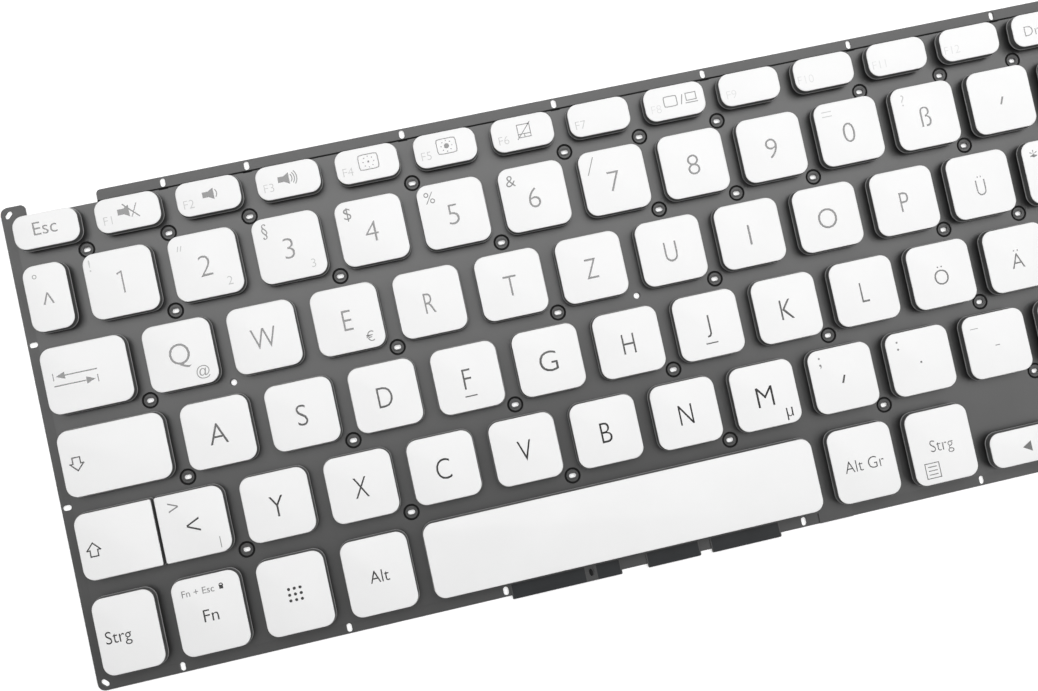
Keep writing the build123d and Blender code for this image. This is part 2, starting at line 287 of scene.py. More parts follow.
# %% Where the caps stand
letter_low, letter_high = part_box("key_a")
next_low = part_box("key_s")[0]
letter_pitch = next_low.x - letter_low.x
letter_width = letter_high.x - letter_low.x
skirt_gap = letter_pitch - letter_width
skirt_z = letter_low.z
top_z = letter_high.z

places = {}
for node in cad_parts:
    if node.startswith("key_"):
        low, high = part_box(node)
        places[node.removeprefix("key_")] = (low.xy, high.xy)
single_names = list(places)

function_names = "escape f1 f2 f3 f4 f5 f6 f7 f8 f9 f10 f11 f12 print_screen delete".split()
low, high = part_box("function_row_keycaps")
function_pitch = (high.x - low.x + skirt_gap) / len(function_names)
for i, name in enumerate(function_names):
    left = low.x + i * function_pitch
    places[name] = (Vector((left, low.y)), Vector((left + function_pitch - skirt_gap, high.y)))

number_names = "1 2 3 4 5 6 7 8 9 0 sharp_s acute".split()
low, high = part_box("number_row_keycaps")
for i, name in enumerate(reversed(number_names)):
    right = high.x - i * letter_pitch
    places[name] = (Vector((right - letter_width, low.y)), Vector((right, high.y)))
places["caret"] = (low.xy, Vector((places["1"][0].x - skirt_gap, high.y)))
print("caps:", len(places), "with a letter pitch of", round(letter_pitch / mm, 2), "mm")

# %% [markdown]
# ## The outline of a cap
# Seen from above, a cap is a rectangle with round corners. It could be a curve with handles, but a flat
# rectangle whose corner points are bevelled has the same line with a known radius. The helpers select
# points by their place, as a hand would pick them.

# %% The outline of a cap
cap_corner = 2.5 * mm
skirt_flare = 0.3 * mm
corner_segments = 9
near = 0.01 * mm


def make_active(piece):
    bpy.ops.object.select_all(action="DESELECT")
    piece.select_set(True)
    bpy.context.view_layer.objects.active = piece


def flat_outline(name, low, high, z):
    """A flat rectangle from corner to corner, which is what a cap starts from."""
    bpy.ops.object.select_all(action="DESELECT")
    bpy.ops.mesh.primitive_plane_add(size=1, location=(*((low + high) / 2), z))
    outline = bpy.context.object
    outline.name = name
    outline.scale = (*(high - low), 1)
    bpy.ops.object.transform_apply(location=True, rotation=True, scale=True)
    return outline


def pick(piece, test):
    """Select the points of a mesh that pass a test, and stay in edit mode for the next tool."""
    make_active(piece)
    bpy.ops.object.mode_set(mode="EDIT")
    bpy.ops.mesh.select_mode(type="VERT")
    bpy.ops.mesh.select_all(action="DESELECT")
    bpy.ops.object.mode_set(mode="OBJECT")
    for vertex in piece.data.vertices:
        vertex.select = test(vertex.co)
    bpy.ops.object.mode_set(mode="EDIT")


def round_corners(piece, test, radius, segments):
    pick(piece, test)
    bpy.ops.mesh.bevel(offset=radius, segments=segments, affect="VERTICES", profile=0.5)
    bpy.ops.object.mode_set(mode="OBJECT")


print("an outline has corners of", round((cap_corner + skirt_flare) / mm, 2), "mm")

# %% [markdown]
# ## A cap raised from its outline
# A real cap is moulded in charcoal plastic and painted white on top. It could be a bevelled box, but its
# wall leans and has a lip, so insets lift the outline step by step into the lip, the wall and the rounded
# edge. Faces made by an inset keep the material of the face they came from, so a material is assigned at
# the height where it begins: a paler plastic on the lip, the dark wall above it, and the white paint on top.
# The underside is closed, and pushed up into a hollow as on the real cap.

# %% A cap raised from its outline
lip_height = 0.24 * mm
ledge_width = 0.07 * mm
ledge_rise = 0.04 * mm
edge_round = 0.22 * mm
edge_steps = 4
paint_start = 1
cap_wall = 0.8 * mm
cap_roof = 0.8 * mm
cap_smooth_angle = 28
wall_lean = skirt_flare - ledge_width - edge_round / 4
wall_rise = top_z - skirt_z - lip_height - ledge_rise - edge_round
wall_slot, paint_slot, rim_slot = range(3)


def paint_selected(piece, slot):
    piece.active_material_index = slot
    bpy.ops.object.material_slot_assign()


def fill_rim():
    """Close the open rim that an outline leaves when its face is lifted off."""
    bpy.ops.mesh.select_mode(type="EDGE")
    bpy.ops.mesh.select_all(action="DESELECT")
    bpy.ops.mesh.select_non_manifold()
    bpy.ops.mesh.edge_face_add()


def finish_shell(angle):
    """Turn all faces outwards, leave edit mode and smooth the edges that bend less than an angle."""
    bpy.ops.mesh.select_all(action="SELECT")
    bpy.ops.mesh.normals_make_consistent(inside=False)
    bpy.ops.object.mode_set(mode="OBJECT")
    bpy.ops.object.shade_smooth_by_angle(angle=radians(angle))


def raise_cap(outline):
    """Lift a flat outline into a hollow cap with a charcoal wall and a white top."""
    for material in (cap_plastic, white_paint, pale_lip_plastic):
        outline.data.materials.append(material)
    make_active(outline)
    bpy.ops.object.mode_set(mode="EDIT")
    bpy.ops.mesh.select_mode(type="FACE")
    bpy.ops.mesh.select_all(action="SELECT")
    paint_selected(outline, rim_slot)
    bpy.ops.mesh.inset(thickness=0, depth=lip_height)
    bpy.ops.mesh.inset(thickness=ledge_width, depth=ledge_rise)
    paint_selected(outline, wall_slot)
    bpy.ops.mesh.inset(thickness=wall_lean, depth=wall_rise)
    quarter = [i * pi / 2 / edge_steps for i in range(edge_steps + 1)]
    for i, (start, end) in enumerate(zip(quarter, quarter[1:])):
        if i == paint_start:
            paint_selected(outline, paint_slot)
        inward = edge_round * (cos(start) - cos(end))
        bpy.ops.mesh.inset(thickness=inward, depth=edge_round * (sin(end) - sin(start)))
    fill_rim()
    bpy.ops.mesh.select_mode(type="FACE")
    paint_selected(outline, wall_slot)
    bpy.ops.mesh.inset(thickness=cap_wall + skirt_flare, depth=0)
    bpy.ops.transform.translate(value=(0, 0, top_z - skirt_z - cap_roof))
    finish_shell(cap_smooth_angle)
    return outline


print("a cap's wall leans", round(wall_lean / mm, 3), "mm over a rise of", round(wall_rise / mm, 3), "mm")

# %% [markdown]
# ## All the caps
# Eighty caps come in a few sizes. Each could be modelled where it stands, but it is quicker to model each
# size once round the origin and copy it, every copy with a mesh of its own. Two pairs of caps share a
# narrow gap, and their corners there are tight. A copy is moved inside its mesh, so its object stays at
# the origin as a solid of the frame does.

# %% All the caps
split_corner = 0.4 * mm
tight_segments = 5
size_digits = 5
tight_sides = {
    "left_shift": lambda point: point.x > 0,
    "less_than": lambda point: point.x < 0,
    "arrow_up": lambda point: point.y < 0,
    "arrow_down": lambda point: point.y > 0,
}


def make_cap(half, tight):
    """A cap round the origin, with tight corners where there is a test tight and they pass it."""
    def wide(point):
        return not (tight and tight(point))

    outline = flat_outline("cap_master", -half, half, skirt_z)
    round_corners(outline, wide, cap_corner + skirt_flare, corner_segments)
    if tight:
        round_corners(outline, tight, split_corner + skirt_flare, tight_segments)
    return raise_cap(outline)


def copy_piece(master, name, middle):
    """A copy of a piece that was modelled round the origin, with its own mesh, moved to its place."""
    piece = master.copy()
    piece.data = master.data.copy()
    piece.name = name
    piece.data.transform(Matrix.Translation((*middle, 0)))
    scene.collection.objects.link(piece)
    return piece


def middle_of(name):
    low, high = places[name]
    return (low + high) / 2


cap_masters = {}
caps = {}
for name, (low, high) in places.items():
    if name == "enter":
        continue
    half = (high - low) / 2
    tight = tight_sides.get(name)
    kind = (round(half.x, size_digits), round(half.y, size_digits), tight)
    if kind not in cap_masters:
        cap_masters[kind] = make_cap(half, tight)
    caps[name] = copy_piece(cap_masters[kind], "cap_" + name, middle_of(name))
for master in cap_masters.values():
    bpy.data.objects.remove(master)
print("caps:", len(caps), "from", len(cap_masters), "sizes")

# %% [markdown]
# ## The enter cap
# It fills two rows and is narrower in the front one, so its outline is an L. Two boxes could be joined,
# but their wall would have a seam. So one rectangle is cut at the step, the edge of the back part is
# pulled to the left, and the cut is dissolved. The outer corners are round as on every cap, and the
# corner in the step has a smaller round.

# %% The enter cap
inner_corner = 1.2 * mm
enter_low, enter_high = places["enter"]
enter_step = Vector((places["hash"][1].x + skirt_gap, places["plus"][0].y))


def at_step(point):
    return (point.xy - enter_step).length < near


def in_line(point):
    """The two points that the cut and the pull leave in the middle of a straight edge."""
    above = abs(point.x - enter_step.x) < near and point.y > enter_step.y + near
    beside = abs(point.y - enter_step.y) < near and point.x > enter_step.x + near
    return above or beside


enter_outline = flat_outline("cap_enter", Vector((enter_step.x, enter_low.y)), enter_high, skirt_z)
make_active(enter_outline)
bpy.ops.object.mode_set(mode="EDIT")
bpy.ops.mesh.select_all(action="SELECT")
bpy.ops.mesh.bisect(plane_co=(0, enter_step.y, 0), plane_no=(0, 1, 0))
bpy.ops.object.mode_set(mode="OBJECT")
pick(enter_outline, lambda point: point.x < enter_step.x + near and point.y > enter_step.y - near)
bpy.ops.mesh.extrude_region_move(TRANSFORM_OT_translate={"value": (enter_low.x - enter_step.x, 0, 0)})
bpy.ops.mesh.select_all(action="SELECT")
bpy.ops.mesh.normals_make_consistent(inside=False)
bpy.ops.mesh.dissolve_faces(use_verts=False)
bpy.ops.object.mode_set(mode="OBJECT")
pick(enter_outline, in_line)
bpy.ops.mesh.dissolve_verts()
bpy.ops.object.mode_set(mode="OBJECT")
if enter_outline.data.polygons[0].normal.z < 0:
    enter_outline.data.flip_normals()
print("enter outline:", len(enter_outline.data.vertices), "corners")

round_corners(enter_outline, lambda point: not at_step(point), cap_corner + skirt_flare, corner_segments)
round_corners(enter_outline, at_step, inner_corner, tight_segments)
caps["enter"] = raise_cap(enter_outline)

# %% [markdown]
# ## Homing bars
# Two letters have a small raised bar that a finger finds without looking. It could be a capsule, but a
# block with every edge bevelled until it is round has fewer faces. It is sunk half into the top and
# joined to its cap, because the real bar is moulded with it. It has the dark finish of the letter above it.

# %% Homing bars
homing_names = ("f", "j")
bar_size = Vector((2.9, 0.28, 0.3)) * mm
bar_setback = 4.2 * mm
bar_round = 0.45 * bar_size.z
bar_segments = 3


def join_to(piece, extras):
    """Join other meshes into a piece, which keeps its name."""
    make_active(piece)
    for extra in extras:
        extra.select_set(True)
    bpy.ops.object.join()


def settle(piece):
    """Move a piece's place, turn and size into its mesh."""
    make_active(piece)
    bpy.ops.object.transform_apply(location=True, rotation=True, scale=True)


def rounded_block(name, middle, size, edge, segments, material):
    """A block round a point, with every edge bevelled."""
    bpy.ops.object.select_all(action="DESELECT")
    bpy.ops.mesh.primitive_cube_add(size=1, location=middle)
    block = bpy.context.object
    block.name = name
    block.scale = size
    settle(block)
    bpy.ops.object.mode_set(mode="EDIT")
    bpy.ops.mesh.select_all(action="SELECT")
    bpy.ops.mesh.bevel(offset=edge, segments=segments)
    bpy.ops.object.mode_set(mode="OBJECT")
    block.data.materials.append(material)
    return block


for name in homing_names:
    x, y = middle_of(name)
    bar_middle = (x, y - bar_setback, top_z)
    bar = rounded_block("homing_bar", bar_middle, bar_size, bar_round, bar_segments, print_ink)
    join_to(caps[name], [bar])
print("homing bars:", len(homing_names))

# %% [markdown]
# ## How a sign is printed
# The letters are printed in a thin dark ink, and the small signs in paler ones. A printed layer could be
# a mask in the paint, but a mask needs a picture or a map, so every sign is a text object in Blender's
# own font instead. A negative offset thins its strokes to the light face of the real print, and a little
# depth lets the ink stand on the paint as a layer does. Text is made a mesh before it is placed, with the
# middle of its box on a spot. Spots and heights of signs are in mm from the middle of the cap's top.

# %% How a sign is printed
ink_rise = 0.012 * mm
ink_step = 0.003 * mm
ink_layers = 4
capital_share = 0.667
letter_resolution = 4
prints = {}


def top_point(name, spot):
    return Vector((*(middle_of(name) + Vector(spot) * mm), top_z))


def add_print(name, sign, ink):
    """Keep an ink mesh until it is joined to its cap. Signs that cross lie at slightly different heights."""
    signs = prints.setdefault(name, [])
    sign.location.z += len(signs) % ink_layers * ink_step
    settle(sign)
    sign.data.materials.append(ink)
    signs.append(sign)


def print_sign(name, sign, spot, height, thinning, ink, squeeze=1.0):
    """Print a sign whose capitals are height mm tall, with the middle of its box on a spot."""
    bpy.ops.object.select_all(action="DESELECT")
    bpy.ops.object.text_add()
    words = bpy.context.object
    words.data.body = sign
    words.data.size = height * mm / capital_share
    words.data.offset = -thinning * words.data.size
    words.data.extrude = ink_rise
    words.data.resolution_u = letter_resolution
    bpy.ops.object.convert(target="MESH")
    bpy.ops.object.origin_set(type="ORIGIN_GEOMETRY", center="BOUNDS")
    words.location = top_point(name, spot)
    words.scale.x = squeeze
    add_print(name, words, ink)


print("ink stands", round(ink_rise / mm, 3), "mm on the paint")

# %% [markdown]
# ## Letters and digits
# The real letters are narrower than the font's, some more than others. Another font would need a file, so
# the letters are squeezed by their kind, and those with an accent or a tail are made lower to fit the
# same box. The digit 1 is drawn later, because the font's has another shape.

# %% Letters and digits
letter_squeezes = {"LRXZ": 0.68, "HNPUÜ": 0.75, "BCDEFKTVWY": 0.8, "G": 1.0}
other_squeeze = 0.92
short_letters = {"J": 0.82, "Ü": 0.8, "Ö": 0.76, "Ä": 0.76}
thin_face = 0.015
letter_face = 0.011
main_height = 4.7
main_spot = (-0.15, -0.25)

main_signs = {name: name.upper() for name in places if len(name) == 1 and name != "1"}
main_signs.update(u_umlaut="Ü", o_umlaut="Ö", a_umlaut="Ä", sharp_s="ß", caret="^")
main_signs.update(plus="+", hash="#", less_than="<")
for name, sign in main_signs.items():
    squeeze = 1.0 if name.isdigit() else other_squeeze
    face = thin_face if name.isdigit() else letter_face
    for letters, share in letter_squeezes.items():
        if sign in letters:
            squeeze = share
    print_sign(name, sign, main_spot, main_height * short_letters.get(sign, 1), face, print_ink, squeeze)
print("letters and digits:", len(main_signs))

# %% [markdown]
# ## Small signs in the corners
# A second sign stands at the upper left of a cap and a third at the lower right, in paler ink and in a
# few sizes. A grid could place them all, but some of the real ones stand off it, so those have a spot of
# their own.

# %% Small signs in the corners
upper_left = (-4.8, 4.5)
lower_right = (4.6, -4.6)
third_spot = (4.2, -4.8)
own_spots = {"!": (-6.1, 4.9), "µ": (4.8, -5.3), "°": (-2.2, 5.0), ">": (-3.7, 4.6), "|": (5.0, -5.2)}
corner_height = 2.6
large_corner_height = 3.2
third_height = 2.2
small_height = 1.9
corner_face = 0.008
word_squeeze = 0.9

for name, sign in {"3": "§", "4": "$", "5": "%", "6": "&", "hash": "'", "minus": "_"}.items():
    print_sign(name, sign, upper_left, corner_height, corner_face, fine_ink)
for name, sign in {"comma": ";", "period": ":", "plus": "*"}.items():
    print_sign(name, sign, upper_left, large_corner_height, corner_face, fine_ink)
print_sign("1", "!", own_spots["!"], corner_height, corner_face, faint_ink)
print_sign("sharp_s", "?", upper_left, corner_height, corner_face, faint_ink)
for name, sign in {"q": "@", "e": "€", "plus": "~"}.items():
    print_sign(name, sign, third_spot, third_height, corner_face, fine_ink)
for name in ("2", "3"):
    print_sign(name, name, lower_right, small_height, corner_face, faint_ink)
print_sign("m", "µ", own_spots["µ"], large_corner_height, corner_face, print_ink, word_squeeze)
print_sign("caret", "°", own_spots["°"], corner_height, corner_face, fine_ink)
print_sign("less_than", ">", own_spots[">"], large_corner_height, corner_face, fine_ink)
print_sign("less_than", "|", own_spots["|"], small_height, corner_face, fine_ink)
print("signs so far:", sum(len(signs) for signs in prints.values()))

# %% [markdown]
# ## Words
# The keys of the front row and the ends of the rear row carry short words. They could be one text for
# each row, but a word has to sink with its cap, so each is its own print. The names of the function keys
# are faint on the real caps and have a pale ink, and the last five have the palest, which paints the
# highlight that pales them further.

# %% Words
word_height = 2.7
escape_height = word_height * 1.08
rear_word_height = word_height * 0.88
lock_word_height = 1.45
word_face = 0.004
word_spot = (0, -0.3)
control_spot = (-2.3, -0.7)
escape_spot = (-0.2, 0.4)
lock_word_spot = (-1.8, 5.4)
function_spot = (-4.6, -1.1)
faint_names = "f1 f2 f3 f4 f5 f6 f7".split()
highlit_names = "f8 f9 f10 f11 f12".split()

for name, word in {"right_control": "Strg", "right_alt": "Alt Gr"}.items():
    print_sign(name, word, word_spot, word_height, letter_face, print_ink, word_squeeze)
print_sign("left_alt", "Alt", word_spot, word_height, word_face, print_ink, word_squeeze)
print_sign("left_control", "Strg", control_spot, word_height, word_face, print_ink, word_squeeze)
print_sign("escape", "Esc", escape_spot, escape_height, word_face, print_ink)
print_sign("function", "Fn", word_spot, word_height, word_face, print_ink)
for name, word in {"print_screen": "Druck", "delete": "Entf"}.items():
    print_sign(name, word, word_spot, rear_word_height, thin_face, print_ink)
print_sign("function", "Fn + Esc", lock_word_spot, lock_word_height, 0, fine_ink)
for names, ink in ((faint_names, faint_ink), (highlit_names, highlight_pale_ink)):
    for name in names:
        print_sign(name, name.upper(), function_spot, small_height, thin_face, ink)
print("words and signs:", sum(len(signs) for signs in prints.values()))

# %% [markdown]
# ## How a sign is drawn
# Arrows, speakers and screens aren't in the font. They could be traced as curves, but two things are
# enough: a straight stroke, which is a flat block between two points, and a filled shape with a number of
# corners, which is a disc or an arrow head. A round line is a chain of short strokes along an arc.

# %% How a sign is drawn
line_width = 0.28
thin_line = 0.2
quarter_turn = 90
head_corners = 3


def stroke(name, start, end, width=line_width, ink=print_ink):
    first = top_point(name, start)
    last = top_point(name, end)
    along = last - first
    turn = (0, 0, atan2(along.y, along.x))
    bpy.ops.object.select_all(action="DESELECT")
    bpy.ops.mesh.primitive_cube_add(size=1, location=(first + last) / 2, rotation=turn)
    line = bpy.context.object
    line.scale = (along.length + width * mm, width * mm, 2 * ink_rise)
    add_print(name, line, ink)


def chain(name, points, width=line_width, ink=print_ink, closed=False):
    """Strokes from point to point, and back to the first one where the line is closed."""
    following = points[1:] + points[:1] if closed else points[1:]
    for start, end in zip(points, following):
        stroke(name, start, end, width, ink)


def filled(name, spot, radius, corners, turn=0, slim=1.0, ink=print_ink):
    """A filled shape. With three corners it points up, or left after a quarter turn."""
    bpy.ops.object.select_all(action="DESELECT")
    bpy.ops.mesh.primitive_cylinder_add(vertices=corners, radius=radius * mm, depth=2 * ink_rise,
                                        location=top_point(name, spot), rotation=(0, 0, radians(turn)))
    shape = bpy.context.object
    shape.scale.x = slim
    add_print(name, shape, ink)


def arc(middle, radius, first, last, steps=6):
    angles = [radians(first + (last - first) * i / steps) for i in range(steps + 1)]
    return [(middle[0] + radius * cos(angle), middle[1] + radius * sin(angle)) for angle in angles]


def box_outline(middle, width, depth):
    x, y = middle
    return [(x + sx * width / 2, y + sy * depth / 2) for sx, sy in ((-1, -1), (1, -1), (1, 1), (-1, 1))]


print("lines are", thin_line, "and", line_width, "mm wide")

# %% [markdown]
# ## Arrows
# The tab key has two long arrows that run against a stop, the lock and shift keys have the outline of a
# short fat one, and the rest have a plain head. The fat arrow is drawn by its right half and mirrored,
# because a whole outline would hold every number twice.

# %% Arrows
tab_stops = ((1, -7.3), (-1, 2.3))
tab_lift = 1.05
tab_drop = 0.1
stop_half = 0.75
shaft_start, shaft_end = 1.6, 9.6
tab_head_shift = 1.9
tab_head, tab_slim = 1.35, 0.7
half_arrow = [(0, 1.5), (1.5, -0.1), (0.85, -0.1), (0.85, -1.5)]
fat_arrows = {
    "caps_lock": ((-8.4, -0.2), -1),
    "left_shift": ((-5.5, -0.75), 1),
    "right_shift": ((-12.0, -0.5), 1),
}
arrow_names = ("arrow_up", "arrow_left", "arrow_down", "arrow_right")
arrow_spot, arrow_head = (0.3, -0.4), 1.45
shaft_head, shaft_slim = 1.0, 0.75

for way, stop in tab_stops:
    y = way * tab_lift - tab_drop
    stroke("tab", (stop, y - stop_half), (stop, y + stop_half), thin_line)
    stroke("tab", (stop + way * shaft_start, y), (stop + way * shaft_end, y))
    head_spot = (stop + way * tab_head_shift, y)
    filled("tab", head_spot, tab_head, head_corners, turn=way * quarter_turn, slim=tab_slim)

whole_arrow = half_arrow + [(-x, y) for x, y in reversed(half_arrow[1:])]
for name, (middle, way) in fat_arrows.items():
    chain(name, [(middle[0] + x, middle[1] + way * y) for x, y in whole_arrow], closed=True)
for i, name in enumerate(arrow_names):
    filled(name, arrow_spot, arrow_head, head_corners, turn=i * quarter_turn)

stroke("backspace", (-2.2, 0), (2.6, 0))
chain("enter", [(1.8, 1.6), (1.8, -0.4), (-1.6, -0.4)])
for name, spot in {"backspace": (-2.4, 0), "enter": (-2.0, -0.4)}.items():
    filled(name, spot, shaft_head, head_corners, turn=quarter_turn, slim=shaft_slim)
print("printed or drawn on", len(prints), "caps so far")

# %% [markdown]
# ## Dots, accents and slashes
# These signs are in the font too, but with other slants and weights than the real prints, so they are
# drawn. The system key has a plain grid of nine dots.

# %% Dots, accents and slashes
dot_corners = 12
grid_pitch, grid_dot = 1.3, 0.36
digit_line, digit_x = 0.34, 0.4
accent_line = 0.45
period_dot = 0.26
quote_places = (-5.6, -4.9)
equals_places = (4.4, 5.5)

for i in range(9):
    filled("system", ((i % 3 - 1) * grid_pitch, (i // 3 - 1) * grid_pitch), grid_dot, dot_corners)
digit_top = main_height / 2
chain("1", [(digit_x, -digit_top), (digit_x, digit_top), (-0.5, digit_top - 0.35)], digit_line)
for name in ("acute", "comma"):
    stroke(name, (-0.3, -0.9), (0.3, 0.5), accent_line)
filled("period", (0, -0.3), period_dot, dot_corners)
stroke("minus", (-0.45, -0.3), (0.45, -0.3), thin_line, fine_ink)
for x in quote_places:
    stroke("2", (x, 4.1), (x + 0.3, 5.1), thin_line, faint_ink)
stroke("7", (-5.8, 2.2), (-4.0, 6.1), thin_line, fine_ink)
for y in equals_places:
    stroke("0", (-5.6, y), (-3.4, y), thin_line, faint_ink)
print("printed or drawn on", len(prints), "caps")

# %% [markdown]
# ## Small pictures
# The pictures follow the real ones: speakers with no, one and three waves, two screens with a small and a
# large sun, a touch pad crossed out, two screens side by side, and a menu and a lock in the front row.
# The frames of the screens bulge. They could be boxes with round corners, but a superellipse, which is a
# circle's formula with a higher power, bulges by itself.

# %% Small pictures
speaker_y, speaker_head, speaker_box = 0.3, 1.55, 1.3
wave_start, wave_pitch, wave_angle = 1.25, 0.55, 38
frame_points, frame_power = 24, 9
ray_reach, ray_dot, ray_corners = 1.25, 0.14, 8
sun_corners = 16
screen_middle, screen_size = (0.4, 0.4), (4.5, 3.5)
sun_sizes = {"f4": 0.24, "f5": 0.6}
menu_lines = (-4.5, -5.4, -6.3)


def speaker(name, x, waves):
    filled(name, (x, speaker_y), speaker_head, head_corners, turn=quarter_turn)
    stroke(name, (x - 1.15, speaker_y), (x - 0.5, speaker_y), speaker_box)
    for i in range(waves):
        reach = wave_start + wave_pitch * i
        chain(name, arc((x + 0.2, speaker_y), reach, -wave_angle, wave_angle), thin_line, fine_ink)


def bulged_frame(name, middle, width, depth, ink):
    points = []
    for i in range(frame_points):
        angle = i * pi / (frame_points / 2)
        c, s = cos(angle), sin(angle)
        reach = (abs(c) ** frame_power + abs(s) ** frame_power) ** (-1 / frame_power)
        points.append((middle[0] + width / 2 * reach * c, middle[1] + depth / 2 * reach * s))
    chain(name, points, thin_line, ink, closed=True)


def sun(name, middle, radius, rays=8):
    filled(name, middle, radius, sun_corners)
    for spot in arc(middle, ray_reach, 0, 360 - 360 / rays, rays - 1):
        filled(name, spot, ray_dot, ray_corners)


speaker("f1", -0.4, 0)
stroke("f1", (-0.8, 1.9), (2.4, -1.3))
stroke("f1", (0.8, -1.2), (2.2, 1.7), thin_line)
speaker("f2", 0.5, 1)
speaker("f3", -0.5, 3)
for name, radius in sun_sizes.items():
    bulged_frame(name, screen_middle, *screen_size, print_ink)
    sun(name, screen_middle, radius)
chain("f6", box_outline((0.4, 0.3), 2.9, 3.0), thin_line, closed=True)
stroke("f6", (-1.05, -0.4), (1.85, -0.4), thin_line)
stroke("f6", (0.4, -1.2), (0.4, -0.4), thin_line)
stroke("f6", (-1.3, -1.5), (2.0, 2.1), thin_line)
bulged_frame("f8", (-1.0, 0.2), 3.1, 2.4, fine_ink)
stroke("f8", (1.5, -0.9), (2.0, 1.2), thin_line, fine_ink)
chain("f8", box_outline((4.0, 0.5), 2.4, 1.7), thin_line, fine_ink, closed=True)
stroke("f8", (2.6, -0.9), (5.4, -0.9), thin_line, fine_ink)
chain("right_control", box_outline((-3.3, -5.4), 3.4, 3.5), thin_line, closed=True)
for y in menu_lines:
    stroke("right_control", (-4.3, y), (-2.3, y), thin_line)
filled("function", (3.4, 5.3), 0.6, 4, turn=45)
chain("function", arc((3.4, 5.7), 0.4, 0, 180), thin_line)
print("all signs:", sum(len(signs) for signs in prints.values()))

# %% [markdown]
# ## Ink on the caps
# The ink could stay as pieces of its own, but then each print would need a body to ride on. So it becomes
# part of its cap, as further materials of the same mesh. The sides and faces of converted text only
# touch, so their shared points are merged first. Then each cap rides on its key's body and stands for its
# solid. The caps of the two rear rows stay on the base.

# %% Ink on the caps
merge_distance = 0.0005 * mm

for name, signs in prints.items():
    join_to(signs[0], signs[1:])
    bpy.ops.object.mode_set(mode="EDIT")
    bpy.ops.mesh.select_all(action="SELECT")
    bpy.ops.mesh.remove_doubles(threshold=merge_distance)
    bpy.ops.object.mode_set(mode="OBJECT")
    join_to(caps[name], [signs[0]])

for name, cap in caps.items():
    node = "key_" + name
    if name in function_names:
        node = "function_row_keycaps"
    elif name not in single_names:
        node = "number_row_keycaps"
    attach(cap, node if name in single_names else "base")
    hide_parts(node)
print("caps with ink:", len(prints), "of", len(caps))

# %% [markdown]
# ## A pair of scissor links
# Under each cap two crossed frames keep it level while it sinks. A frame could be cut out with a boolean,
# but a flat block whose top and bottom are inset and bridged into a window has clean faces. It is leaned
# until one end meets the film and the other the cap, and hubs join the two frames at the crossing.

# %% A pair of scissor links
film_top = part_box("circuit_membrane")[1].z
roof_z = top_z - cap_roof
link_bar = 0.6 * mm
link_thickness = 0.6 * mm
link_clearance = 0.12 * mm
seat_clearance = 0.05 * mm
hub_radius = 0.42 * mm
hub_sides = 8
mostly = 0.5
link_middle = (film_top + roof_z) / 2
link_rise = (roof_z - film_top) / 2 - seat_clearance


def is_flat(face):
    """Whether a face looks up or down."""
    return abs(face.normal.z) > mostly


def pick_faces(piece, test):
    """Select the faces of a mesh that pass a test, and stay in edit mode for the next tool."""
    make_active(piece)
    bpy.ops.object.mode_set(mode="EDIT")
    bpy.ops.mesh.select_mode(type="FACE")
    bpy.ops.mesh.select_all(action="DESELECT")
    bpy.ops.object.mode_set(mode="OBJECT")
    for face in piece.data.polygons:
        face.select = test(face)
    bpy.ops.object.mode_set(mode="EDIT")


def open_window(piece):
    """Bridge the two faces in the middle of a flat piece, above and below, into a window."""
    pick_faces(piece, lambda face: is_flat(face) and face.center.xy.length < near)
    bpy.ops.mesh.bridge_edge_loops()
    bpy.ops.object.mode_set(mode="OBJECT")


def cut_ring(piece, width):
    """Turn a flat piece into a ring of a given width."""
    pick_faces(piece, is_flat)
    bpy.ops.mesh.inset(thickness=width, depth=0)
    bpy.ops.object.mode_set(mode="OBJECT")
    open_window(piece)


def link_frame(length, width, lean, along_x):
    """One frame, leaned about the crossing in the middle of the pair."""
    bpy.ops.object.select_all(action="DESELECT")
    bpy.ops.mesh.primitive_cube_add(size=1)
    ring = bpy.context.object
    ring.scale = (length, width, link_thickness)
    settle(ring)
    cut_ring(ring, link_bar)
    tilt = asin(link_rise / (hypot(length, link_thickness) / 2)) - atan2(link_thickness, length)
    ring.rotation_euler = (0, -lean * tilt, 0 if along_x else pi / 2)
    ring.location.z = link_middle
    ring.data.materials.append(link_plastic)
    settle(ring)
    return ring


def link_pair(length, width, along_x):
    outer = link_frame(length, width, 1, along_x)
    inner = link_frame(length, width - 2 * (link_bar + link_clearance), -1, along_x)
    hub_depth = 2 * link_bar + link_clearance
    hubs = []
    for side in (-1, 1):
        reach = side * (width / 2 - link_bar - link_clearance / 2)
        spot = (0, reach, link_middle) if along_x else (reach, 0, link_middle)
        turn = (pi / 2, 0, 0) if along_x else (0, pi / 2, 0)
        bpy.ops.object.select_all(action="DESELECT")
        bpy.ops.mesh.primitive_cylinder_add(vertices=hub_sides, radius=hub_radius, depth=hub_depth,
                                            location=spot, rotation=turn)
        hub = bpy.context.object
        hub.data.materials.append(link_plastic)
        settle(hub)
        hubs.append(hub)
    join_to(outer, [inner, *hubs])
    return outer


print("links rise", round(2 * link_rise / mm, 2), "mm from the film to the cap")

# %% [markdown]
# ## Links under every cap
# The pocket of a cap gives the size of its pair, and the pair slopes along the longer side. One size
# could be scaled to fit, but that would thin its bars, so each size is modelled once and copied. The long
# space cap has two pairs.

# %% Links under every cap
link_length = 11.8 * mm
link_width = 10.0 * mm
pocket_clearance = 0.25 * mm
space_link_offset = 24.0 * mm


def seat_of(name):
    """The size of the links under a cap, and whether they slope along X."""
    low, high = places[name]
    across, deep = high - low - 2 * Vector((1, 1)) * (skirt_flare + cap_wall + pocket_clearance)
    if name == "enter":
        across -= enter_step.x - enter_low.x
    length = min(link_length, max(across, deep))
    width = min(link_width, across, deep)
    return round(length, size_digits), round(width, size_digits), across >= deep


